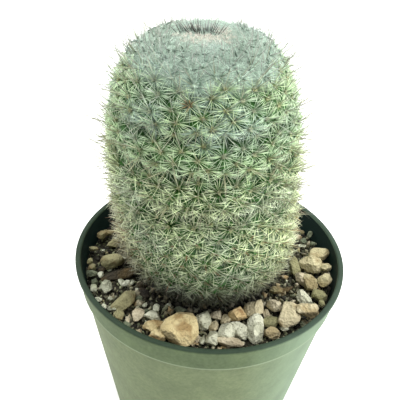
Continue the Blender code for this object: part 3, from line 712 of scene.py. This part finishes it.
def areole_points(name, chosen):
    """A mesh of the chosen areoles, laid in golden-angle order, with the size and directions of each."""
    draw = random.Random(AREOLE_SEED)
    places = []
    count = 0.0
    for before, row in zip(outline, outline[1:]):
        band_area = 2.0 * math.pi * row.radius * (row.along - before.along)
        count += band_area / (CELL_SHARE * spacing_at(row.radius) ** 2)
        while len(places) + 0.5 < count:
            places.append((row, len(places) * GOLDEN_ANGLE + draw.uniform(-1.0, 1.0) * AREOLE_JITTER / 2))
    points, outward, upward, size = [], [], [], []
    for row, angle in places:
        if chosen(row.height, row.radius, angle):
            point, direction = on_stem(row, angle)
            points.append(point)
            outward.extend(direction)
            upward.extend(direction.cross(Vector((-math.sin(angle), math.cos(angle), 0.0))))
            size.append(spacing_at(row.radius) / TUBERCLE_SPACING)
    mesh = bpy.data.meshes.new(name)
    mesh.from_pydata(points, [], [])
    mesh.attributes.new("outward", "FLOAT_VECTOR", "POINT").data.foreach_set("vector", outward)
    mesh.attributes.new("upward", "FLOAT_VECTOR", "POINT").data.foreach_set("vector", upward)
    mesh.attributes.new("size", "FLOAT", "POINT").data.foreach_set("value", size)
    return mesh


body = bmesh.new()
rings = []
for i in range(STEM_ROWS + 1):
    wanted = outline[-1].along * i / STEM_ROWS
    row = min(outline, key=lambda sample: abs(sample.along - wanted))
    if i == 0:
        rings.append([body.verts.new(on_stem(row, 0.0)[0])] * STEM_SIDES)
    else:
        turns = [2.0 * math.pi * k / STEM_SIDES for k in range(STEM_SIDES)]
        rings.append([body.verts.new(on_stem(row, turn)[0]) for turn in turns])
for above, below in zip(rings, rings[1:]):
    for k in range(STEM_SIDES):
        j = (k + 1) % STEM_SIDES
        at_tip = above[k] is above[j]
        body.faces.new((above[k], below[k], below[j]) + (() if at_tip else (above[j],)))
body.faces.new(list(reversed(rings[-1])))

# The tree raises a rounded cone round each areole. Between cones it leaves a valley.
cones, given = new_growth("tubercles", {
    "Areoles": "Object", "Spacing": "Float", "Height": "Float", "Material": "Material"})
guide = add(cones, "GeometryNodeObjectInfo", {"Object": given["Areoles"]}, out="Geometry")
distance = add(cones, "GeometryNodeProximity", {0: guide}, out="Distance", target_element="POINTS")
nearest = add(cones, "GeometryNodeSampleNearest", {0: guide})
own_size = add(cones, "GeometryNodeInputNamedAttribute", {"Name": "size"})
size = add(cones, "GeometryNodeSampleIndex", {0: guide, 1: own_size, "Index": nearest})
reach = add(cones, "ShaderNodeMath", {0: size, 1: given["Spacing"]}, operation="MULTIPLY")
share = add(cones, "ShaderNodeMath", {0: distance, 1: reach}, operation="DIVIDE")
cone = add(cones, "ShaderNodeMapRange", {
    "Value": share, "From Min": 0.62, "From Max": 0.04}, interpolation_type="SMOOTHSTEP")
cone = add(cones, "ShaderNodeMath", {0: cone, 1: 0.8}, operation="POWER")
lift = add(cones, "ShaderNodeMath", {0: cone, 1: size}, operation="MULTIPLY")
lift = add(cones, "ShaderNodeMath", {0: lift, 1: given["Height"]}, operation="MULTIPLY")
push = add(cones, "ShaderNodeVectorMath", {
    0: add(cones, "GeometryNodeInputNormal"), "Scale": lift}, operation="SCALE")
marked = add(cones, "GeometryNodeStoreNamedAttribute", {
    "Geometry": given["Geometry"], "Name": "tip", "Value": cone})
raised = add(cones, "GeometryNodeSetPosition", {"Geometry": marked, "Offset": push})
end_growth(cones, raised, given["Material"])

# Cactus skin: waxy and mid green, painted deep green in the valleys as the shade between tubercles, paler and
# bluer on the crown, partly young growth and partly painted sky light.
skin, tree, shader = new_finish("cactus_skin")
place = add(tree, "ShaderNodeTexCoord", out="Object")
height = add(tree, "ShaderNodeSeparateXYZ", {0: place}, out="Z")
tip = add(tree, "ShaderNodeAttribute", out="Fac", attribute_name="tip")
mottle = add(tree, "ShaderNodeTexNoise", {"Vector": place, "Scale": 1 / MOTTLE_WIDTH, "Detail": 3.0})
# The valleys between tubercles are painted deep green as their shade.
green = add(tree, "ShaderNodeMix", {0: tip, 6: linear("12380c"), 7: linear("336f1f")}, **COLOUR_MIX)
crown = PLANT_FOOT + CROWN_LEVEL
# On the crown the skin is paler and bluer: young growth, with a painted sky light.
feed(shader, {"Roughness": 0.5, "Base Color": layered(tree, green, [
    (mottle, 0.35, 0.7, 0.4, "264c18"), (height, crown - 0.004, crown - 0.001, 1.0, "a0b6a8")])})
areole_guide = new_piece("areole_guide", areole_points("areoles", lambda height, radius, angle: True), None)
stem = grow("cactus_stem", as_mesh("stem", body), cones, {
    "Areoles": areole_guide, "Spacing": TUBERCLE_SPACING, "Height": TUBERCLE_HEIGHT, "Material": skin})
bpy.data.objects.remove(areole_guide)
stand_for(stem, "cactus")

# Spines
# Each areole carries a flat star of about 27 stiff white radial spines, and one to three longer central ones
# that stand out. They are hard, smooth needles that grow out of a cushion of wool.
LOWEST_LEVEL = 0.0030
OLD_LEVEL = 0.040
NET_LEVEL = 0.060
SHOULDER_LEVEL = 0.070
CROWN_CALM_RADIUS = 0.0125
CROWN_RIM_RADIUS = 0.0205
CROWN_RIM_DEPTH = 0.004
BEHIND_TUFT = 0.85
# height over the plant's foot, angle in degrees
MATTED = ((0.0765, -125.0), (0.0785, -69.0), (0.0745, -86.0), (0.0860, -90.0), (0.0730, 30.0), (0.0790, 95.0),
          (0.0700, 150.0), (0.0780, -172.0))
MATTED_REACH = 0.0055
PATCH_WIDTH = 0.016
SHADE_SUM = 1.74  # of a spine's darkest and brightest shade
SPINE_INPUTS = {
    "Spines each": "Int", "Length": "Float", "Length spread": "Float", "Thickness": "Float", "Rise": "Float",
    "Rise spread": "Float", "Curve": "Float", "Lift": "Float", "Upturn": "Float", "Crowding": "Float",
    "Scaling": "Float", "Areole": "Float", "Segments": "Int", "Seed": "Int"}
# The tree stands a star of three-sided needles on each areole, crowded to its left and right. A needle keeps
# its width for half its length, bends inwards by its curve and leans up the stem by its upturn.
star, given = new_growth("spine_rosettes", {**SPINE_INPUTS, "Material": "Material"})
outward, upward = (
    add(star, "GeometryNodeInputNamedAttribute", {"Name": name}, data_type="FLOAT_VECTOR")
    for name in ("outward", "upward"))
size = add(star, "GeometryNodeInputNamedAttribute", {"Name": "size"})
size = add(star, "ShaderNodeMath", {0: size, 1: given["Scaling"]}, operation="POWER")
around = add(star, "ShaderNodeVectorMath", {0: upward, 1: outward}, operation="CROSS_PRODUCT")
start = add(star, "FunctionNodeRandomValue", {2: 0.0, 3: 2 * math.pi, "Seed": given["Seed"]}, out=1)
based = add(star, "GeometryNodeStoreNamedAttribute", {
    "Geometry": given["Geometry"], "Name": "start", "Value": start})
copies = add(star, "GeometryNodeDuplicateElements", {
    "Geometry": based, "Amount": given["Spines each"]}, domain="POINT")
number = copies.node.outputs["Duplicate Index"]
own_start = add(star, "GeometryNodeInputNamedAttribute", {"Name": "start"})
jitter = add(star, "FunctionNodeRandomValue", {2: -0.45, 3: 0.45, "Seed": given["Seed"]}, out=1)
ordinal = add(star, "ShaderNodeMath", {0: number, 1: jitter}, operation="ADD")
step = add(star, "ShaderNodeMath", {0: 2 * math.pi, 1: given["Spines each"]}, operation="DIVIDE")
turn = add(star, "ShaderNodeMath", {0: ordinal, 1: step, 2: own_start}, operation="MULTIPLY_ADD")
double = add(star, "ShaderNodeMath", {0: turn, 1: 2.0}, operation="MULTIPLY")
crowd = add(star, "ShaderNodeMath", {0: double}, operation="SINE")
crowd = add(star, "ShaderNodeMath", {0: crowd, 1: given["Crowding"]}, operation="MULTIPLY")
turn = add(star, "ShaderNodeMath", {0: turn, 1: crowd}, operation="SUBTRACT")
sine, cosine = (add(star, "ShaderNodeMath", {0: turn}, operation=wave) for wave in ("SINE", "COSINE"))
sideways = add(star, "ShaderNodeVectorMath", {0: around, "Scale": cosine}, operation="SCALE")
lengthways = add(star, "ShaderNodeVectorMath", {0: upward, "Scale": sine}, operation="SCALE")
flat = add(star, "ShaderNodeVectorMath", {0: sideways, 1: lengthways}, operation="ADD")
rise_draw = add(star, "FunctionNodeRandomValue", {2: -1.0, 3: 1.0, "Seed": 101}, out=1)
rise = add(star, "ShaderNodeMath", {
    0: rise_draw, 1: given["Rise spread"], 2: given["Rise"]}, operation="MULTIPLY_ADD")
rise_sine, rise_cosine = (
    add(star, "ShaderNodeMath", {0: rise}, operation=wave) for wave in ("SINE", "COSINE"))
level_part = add(star, "ShaderNodeVectorMath", {0: flat, "Scale": rise_cosine}, operation="SCALE")
out_part = add(star, "ShaderNodeVectorMath", {0: outward, "Scale": rise_sine}, operation="SCALE")
lean = add(star, "ShaderNodeVectorMath", {0: upward, "Scale": given["Upturn"]}, operation="SCALE")
direction = add(star, "ShaderNodeVectorMath", {0: level_part, 1: out_part}, operation="ADD")
direction = add(star, "ShaderNodeVectorMath", {0: direction, 1: lean}, operation="ADD")
shortest = add(star, "ShaderNodeMath", {0: 1.0, 1: given["Length spread"]}, operation="SUBTRACT")
length_draw = add(star, "FunctionNodeRandomValue", {2: shortest, 3: 1.0, "Seed": 202}, out=1)
length = add(star, "ShaderNodeMath", {0: length_draw, 1: given["Length"]}, operation="MULTIPLY")
length = add(star, "ShaderNodeMath", {0: length, 1: size}, operation="MULTIPLY")
root_lift = add(star, "ShaderNodeMath", {0: size, 1: given["Lift"]}, operation="MULTIPLY")
root = add(star, "ShaderNodeVectorMath", {0: outward, "Scale": root_lift}, operation="SCALE")
rim = add(star, "ShaderNodeMath", {0: size, 1: given["Areole"]}, operation="MULTIPLY")
rim = add(star, "ShaderNodeVectorMath", {0: flat, "Scale": rim}, operation="SCALE")
root = add(star, "ShaderNodeVectorMath", {0: root, 1: rim}, operation="ADD")
roots = add(star, "GeometryNodeSetPosition", {"Geometry": copies, "Offset": root})
tint = add(star, "FunctionNodeRandomValue", {"Seed": 303}, out=1)
roots = add(star, "GeometryNodeStoreNamedAttribute", {"Geometry": roots, "Name": "tint", "Value": tint})
needle = add(star, "GeometryNodeMeshCone", {
    "Vertices": 3, "Side Segments": given["Segments"], "Depth": 1.0}, fill_type="NGON")
reach = add(star, "ShaderNodeSeparateXYZ", {0: add(star, "GeometryNodeInputPosition")}, out="Z")
needle = add(star, "GeometryNodeStoreNamedAttribute", {"Geometry": needle, "Name": "along", "Value": reach})
swell = add(star, "ShaderNodeMath", {0: reach, 1: 1.6, 2: 1.0}, operation="MULTIPLY_ADD")
swell = add(star, "ShaderNodeCombineXYZ", {"X": swell, "Y": swell, "Z": 1.0})
shaft = add(star, "ShaderNodeVectorMath", {
    0: add(star, "GeometryNodeInputPosition"), 1: swell}, operation="MULTIPLY")
needle = add(star, "GeometryNodeSetPosition", {"Geometry": needle, "Position": shaft})
squared = add(star, "ShaderNodeMath", {0: reach, 1: 2.0}, operation="POWER")
bend = add(star, "ShaderNodeMath", {0: given["Curve"], 1: given["Thickness"]}, operation="DIVIDE")
bend = add(star, "ShaderNodeMath", {0: squared, 1: bend}, operation="MULTIPLY")
sink = add(star, "ShaderNodeMath", {0: bend, 1: -1.0}, operation="MULTIPLY")
needle = add(star, "GeometryNodeSetPosition", {
    "Geometry": needle, "Offset": add(star, "ShaderNodeCombineXYZ", {"X": sink})})
stand = add(star, "FunctionNodeAxesToRotation", {
    0: direction, 1: outward}, primary_axis="Z", secondary_axis="X")
thick = add(star, "ShaderNodeMath", {0: size, 1: given["Thickness"]}, operation="MULTIPLY")
scale = add(star, "ShaderNodeCombineXYZ", {"X": thick, "Y": thick, "Z": length})
spines = add(star, "GeometryNodeInstanceOnPoints", {
    "Points": roots, "Instance": needle, "Rotation": stand, "Scale": scale})
end_growth(star, spines, given["Material"])


def spine_finish(name, root, middle, tip, roughness, crown_sky_light=0.0, darkest=0.54):
    """Hard, smooth horn in three tones from root to tip, each spine a shade of its own.

    Cool patches lie over all of it. Low on the plant the right side carries a pale warm painted glow of the
    light from the right, and the left side a darker, browner tone. The crown may carry a pale blue painted
    sky light.
    Near the soil, and higher up at the front, the spines are painted dark as the shade under the plant. Wool
    and petals are only rougher.
    """
    finish, tree, shader = new_finish(name)
    along = add(tree, "ShaderNodeAttribute", out="Fac", attribute_name="along")
    tint = add(tree, "ShaderNodeAttribute", out="Fac", attribute_name="tint")
    place = add(tree, "ShaderNodeTexCoord", out="Object")
    across, depth, level = (add(tree, "ShaderNodeSeparateXYZ", {0: place}, out=axis) for axis in "XYZ")
    patches = add(tree, "ShaderNodeTexNoise", {"Vector": place, "Scale": 1 / PATCH_WIDTH, "Detail": 1.0})
    # Low on the plant the right side gets a pale warm painted glow of the right lamp's light, the left side a
    # darker, browner tone.
    right_glow_most, left_brown_most = (add(tree, "ShaderNodeMapRange", {
        "Value": level, "From Min": PLANT_FOOT + 0.050, "From Max": PLANT_FOOT + 0.022, "To Max": most})
        for most in (0.45, 0.75))
    colour = layered(tree, linear(root), [
        (along, 0.0, 0.35, 1.0, middle),
        (along, 0.55, 1.0, 1.0, tip),
        (patches, 0.5, 0.66, 0.3, "c3d8d3"),
        (across, 0.004, 0.020, right_glow_most, "d6d89c"),
        (across, -0.014, -0.030, left_brown_most, "a99c78"),
        # A pale blue painted sky light on the crown.
        (level, PLANT_FOOT + PLANT_HEIGHT, PLANT_FOOT + CROWN_LEVEL, crown_sky_light, "dcf2df")])
    shade = add(tree, "ShaderNodeMapRange", {"Value": tint, "To Min": darkest, "To Max": SHADE_SUM - darkest})
    # The height, lowered towards the front, sets where the spines are painted dark as the shade near the
    # soil.
    level = add(tree, "ShaderNodeMath", {0: depth, 1: 0.4, 2: level}, operation="MULTIPLY_ADD")
    feed(shader, {"Roughness": roughness, "Base Color": layered(tree, dimmed(tree, colour, shade), [
        (level, PLANT_FOOT + 0.019, PLANT_FOOT, 0.97, "20240f")])})
    return finish


def band(low, high):
    """Picks the areoles between two heights over the plant's foot."""
    return lambda height, radius, angle: low < height <= high


def near_any(spots, reach):
    """Picks the areoles within reach of one of the spots."""
    def chosen(height, radius, angle):
        for level, turn in spots:
            across = math.remainder(angle - math.radians(turn), 2.0 * math.pi) * max(radius, 0.001)
            if math.hypot(across, height - level) < reach:
                return True
        return False
    return chosen


def round_crown(height, radius, angle):
    return height >= CROWN_LEVEL and radius > CROWN_CALM_RADIUS and math.sin(angle) < BEHIND_TUFT


def on_crown_rim(height, radius, angle):
    return height >= CROWN_LEVEL - CROWN_RIM_DEPTH and radius > CROWN_RIM_RADIUS


def grow_spines(name, chosen, finish, *measures):
    """One kind of spine on the chosen areoles. The measures follow SPINE_INPUTS, with the rise in degrees."""
    values = {**dict(zip(SPINE_INPUTS, measures)), "Material": finish}
    for tilt in ("Rise", "Rise spread"):
        values[tilt] = math.radians(values[tilt])
    stand_for(grow(name, areole_points(name + "_areoles", chosen), star, values), "cactus")


below_crown = band(LOWEST_LEVEL, CROWN_LEVEL)
in_crown = band(CROWN_LEVEL, PLANT_HEIGHT)
# The white and fresh spines' dark green roots are painted shade for the deep centres of the stars and the
# gaps between them.
white_spine = spine_finish("white_spine_horn", "6c8c44", "dcebbc", "f2f8d8", 0.4, darkest=0.32)
shoulder_spine = spine_finish("shoulder_spine_horn", "b4bf9c", "a6ac92", "5a5450", 0.4)
# spines each, length and spread, thickness, rise and spread, curve, lift, upturn, crowding, scaling, areole,
# segments and seed
grow_spines("radial_spines", band(NET_LEVEL, CROWN_LEVEL),
    spine_finish("fresh_spine_horn", "648a3c", "d0eaba", "eafad8", 0.4),
    28, 0.006, 0.35, 0.000108, 17.0, 14.0, 0.0004, 0.0024, 0.0, 0.45, 1.0, 0.0004, 2, 1)
grow_spines("old_radial_spines", band(LOWEST_LEVEL, NET_LEVEL), white_spine,
    26, 0.0065, 0.45, 0.000112, 26.0, 24.0, 0.0004, 0.0022, 0.0, 0.32, 1.0, 0.0010, 2, 11)
grow_spines("inner_radial_spines", below_crown, white_spine,
    4, 0.0052, 0.5, 0.00012, 40.0, 20.0, 0.0, 0.0024, 0.1, 0.3, 1.0, 0.0002, 1, 3)
grow_spines("shoulder_spines", band(SHOULDER_LEVEL, CROWN_LEVEL), shoulder_spine,
    2, 0.0122, 0.4, 0.00013, 75.0, 11.0, 0.0, 0.0022, 0.35, 0.0, 1.0, 0.0001, 2, 18)
grow_spines("central_spines", band(OLD_LEVEL, SHOULDER_LEVEL),
    spine_finish("central_spine_horn", "bcc294", "aeb08e", "4a4340", 0.4),
    3, 0.0130, 0.4, 0.00013, 76.0, 10.0, 0.0, 0.0022, 0.55, 0.0, 1.0, 0.0001, 2, 4)
grow_spines("old_central_spines", band(LOWEST_LEVEL, OLD_LEVEL),
    spine_finish("old_spine_horn", "b08c62", "8a5434", "5c2a18", 0.4),
    1, 0.0062, 0.4, 0.00016, 68.0, 14.0, 0.0, 0.0022, 0.5, 0.0, 1.0, 0.0001, 2, 14)
grow_spines("areole_wool", below_crown,
    spine_finish("areole_wool", "a0a272", "b1b587", "bfc39a", 0.9),
    10, 0.0014, 0.4, 0.0003, 40.0, 35.0, 0.0, 0.0025, 0.0, 0.0, 1.0, 0.0001, 1, 5)
grow_spines("crown_spines", in_crown,
    spine_finish("young_spine_horn", "9fb7a4", "b0c6b4", "c3d3c6", 0.55, 0.8),
    130, 0.0068, 0.5, 0.00010, 11.0, 11.0, 0.0, 0.0022, 0.0, 0.3, 0.6, 0.0003, 1, 2)
grow_spines("matted_spines", near_any(MATTED, MATTED_REACH),
    spine_finish("matted_spine_horn", "8ea898", "b0c9b9", "c6dad0", 0.5),
    55, 0.0062, 0.5, 0.00010, 14.0, 12.0, 0.0, 0.0023, 0.0, 0.45, 0.8, 0.0004, 1, 16)
grow_spines("crown_rim_spines", on_crown_rim, shoulder_spine,
    3, 0.0104, 0.35, 0.00012, 68.0, 18.0, 0.0, 0.0018, 0.1, 0.0, 0.5, 0.0004, 2, 17)
grow_spines("crown_central_spines", round_crown,
    spine_finish("young_central_horn", "b0bfae", "a9aea2", "857e7a", 0.4),
    5, 0.0080, 0.4, 0.00012, 58.0, 18.0, 0.0, 0.0015, 0.3, 0.0, 0.3, 0.0004, 2, 6)
grow_spines("crown_spine_tips", round_crown,
    spine_finish("matted_spine_tip", "8aa08f", "5f7664", "4b5e50", 0.6),
    2, 0.0028, 0.5, 0.00036, 8.0, 8.0, 0.0, 0.0036, 0.0, 0.45, 0.5, 0.0004, 2, 15)
grow_spines("crown_wool", in_crown,
    spine_finish("young_wool", "a3bba8", "b1c7b5", "bdcdc0", 0.9, 0.45),
    24, 0.0020, 0.4, 0.00035, 20.0, 20.0, 0.0, 0.0024, 0.0, 0.0, 0.8, 0.0002, 1, 9)

# Growing point
# The youngest areoles stand close together at the top, and their dark central spines are still upright, in a
# fan over a ring of pinkish wool.
TUFT_RADIUS = 0.0059
TUFT_FRONT = 0.0004
TUFT_SIDE = -0.0027
WOOL_RADIUS = 0.0090


def at_growing_point(height, radius, angle):
    across, depth = radius * math.cos(angle) - TUFT_SIDE, radius * math.sin(angle)
    return math.hypot(across, depth) < TUFT_RADIUS and depth > TUFT_FRONT


def round_growing_point(height, radius, angle):
    return radius < WOOL_RADIUS and not at_growing_point(height, radius, angle)


grow_spines("growing_point_spines", at_growing_point,
    spine_finish("dark_spine_horn", "45423a", "39372f", "a39f90", 0.4),
    5, 0.0070, 0.35, 0.00015, 72.0, 12.0, 0.0, 0.0008, -0.55, 0.0, 0.0, 0.0008, 2, 7)
grow_spines("growing_point_wool", round_growing_point,
    spine_finish("young_areole_wool", "c4bdac", "d0c9ba", "dcd7ca", 0.9),
    60, 0.0026, 0.5, 0.00016, 40.0, 30.0, 0.0, 0.0018, 0.0, 0.0, 0.3, 0.0002, 1, 8)

# Dried flowers
# A few flowers have withered on the stem. Each is a shrunken, papery pinch of red-brown petals, two to four
# millimetres across, still held by its areole.
WITHERED_REACH = 0.0026
# height over the plant's foot, angle in degrees
WITHERED = ((0.034, -10.0), (0.028, -6.0), (0.021, -10.0), (0.013, -16.0), (0.016, -165.0), (0.0810, -96.0))
grow_spines("dried_flowers", near_any(WITHERED, WITHERED_REACH),
    spine_finish("withered_petal", "5c5236", "8f7c56", "b69f7a", 0.8),
    9, 0.0036, 0.6, 0.00022, 60.0, 30.0, 0.0004, 0.0028, 0.0, 0.0, 0.0, 0.0004, 2, 10)

# Studio
# A white painted board far wider than the view, under a broad soft light above and behind the plant and a
# smaller one at each side.
BOARD_HALF = 3.0
LIT_POINT = Vector((0.0, 0.0, 0.12))
SKY_STRENGTH = 0.4
# place, width, watts
LIGHTS = {
    "overhead_softbox": ((0.0, 0.35, 1.5), 2.4, 60.0),
    "right_softbox": ((1.15, -0.35, 0.65), 1.0, 23.0),
    "left_softbox": ((-1.2, 0.3, 0.6), 1.0, 11.0),
}
sheet = bmesh.new()
bmesh.ops.create_grid(sheet, x_segments=1, y_segments=1, size=BOARD_HALF)
painted, tree, shader = new_finish("white_painted_board")
feed(shader, {"Base Color": linear("f4f4f2"), "Roughness": 0.9})
new_piece("table", as_mesh("table", sheet), painted)
for name, (place, width, power) in LIGHTS.items():
    light = bpy.data.lights.new(name, "AREA")
    light.size = width
    light.energy = power
    lamp = bpy.data.objects.new(name, light)
    bpy.context.scene.collection.objects.link(lamp)
    lamp.location = place
    lamp.rotation_euler = (LIT_POINT - lamp.location).to_track_quat("-Z", "Y").to_euler()
world = bpy.data.worlds.new("studio")
world.use_nodes = True
feed(world.node_tree.nodes["Background"], {"Color": (1.0, 1.0, 1.0, 1.0), "Strength": SKY_STRENGTH})
bpy.context.scene.world = world
bpy.context.scene.view_settings.view_transform = "Standard"
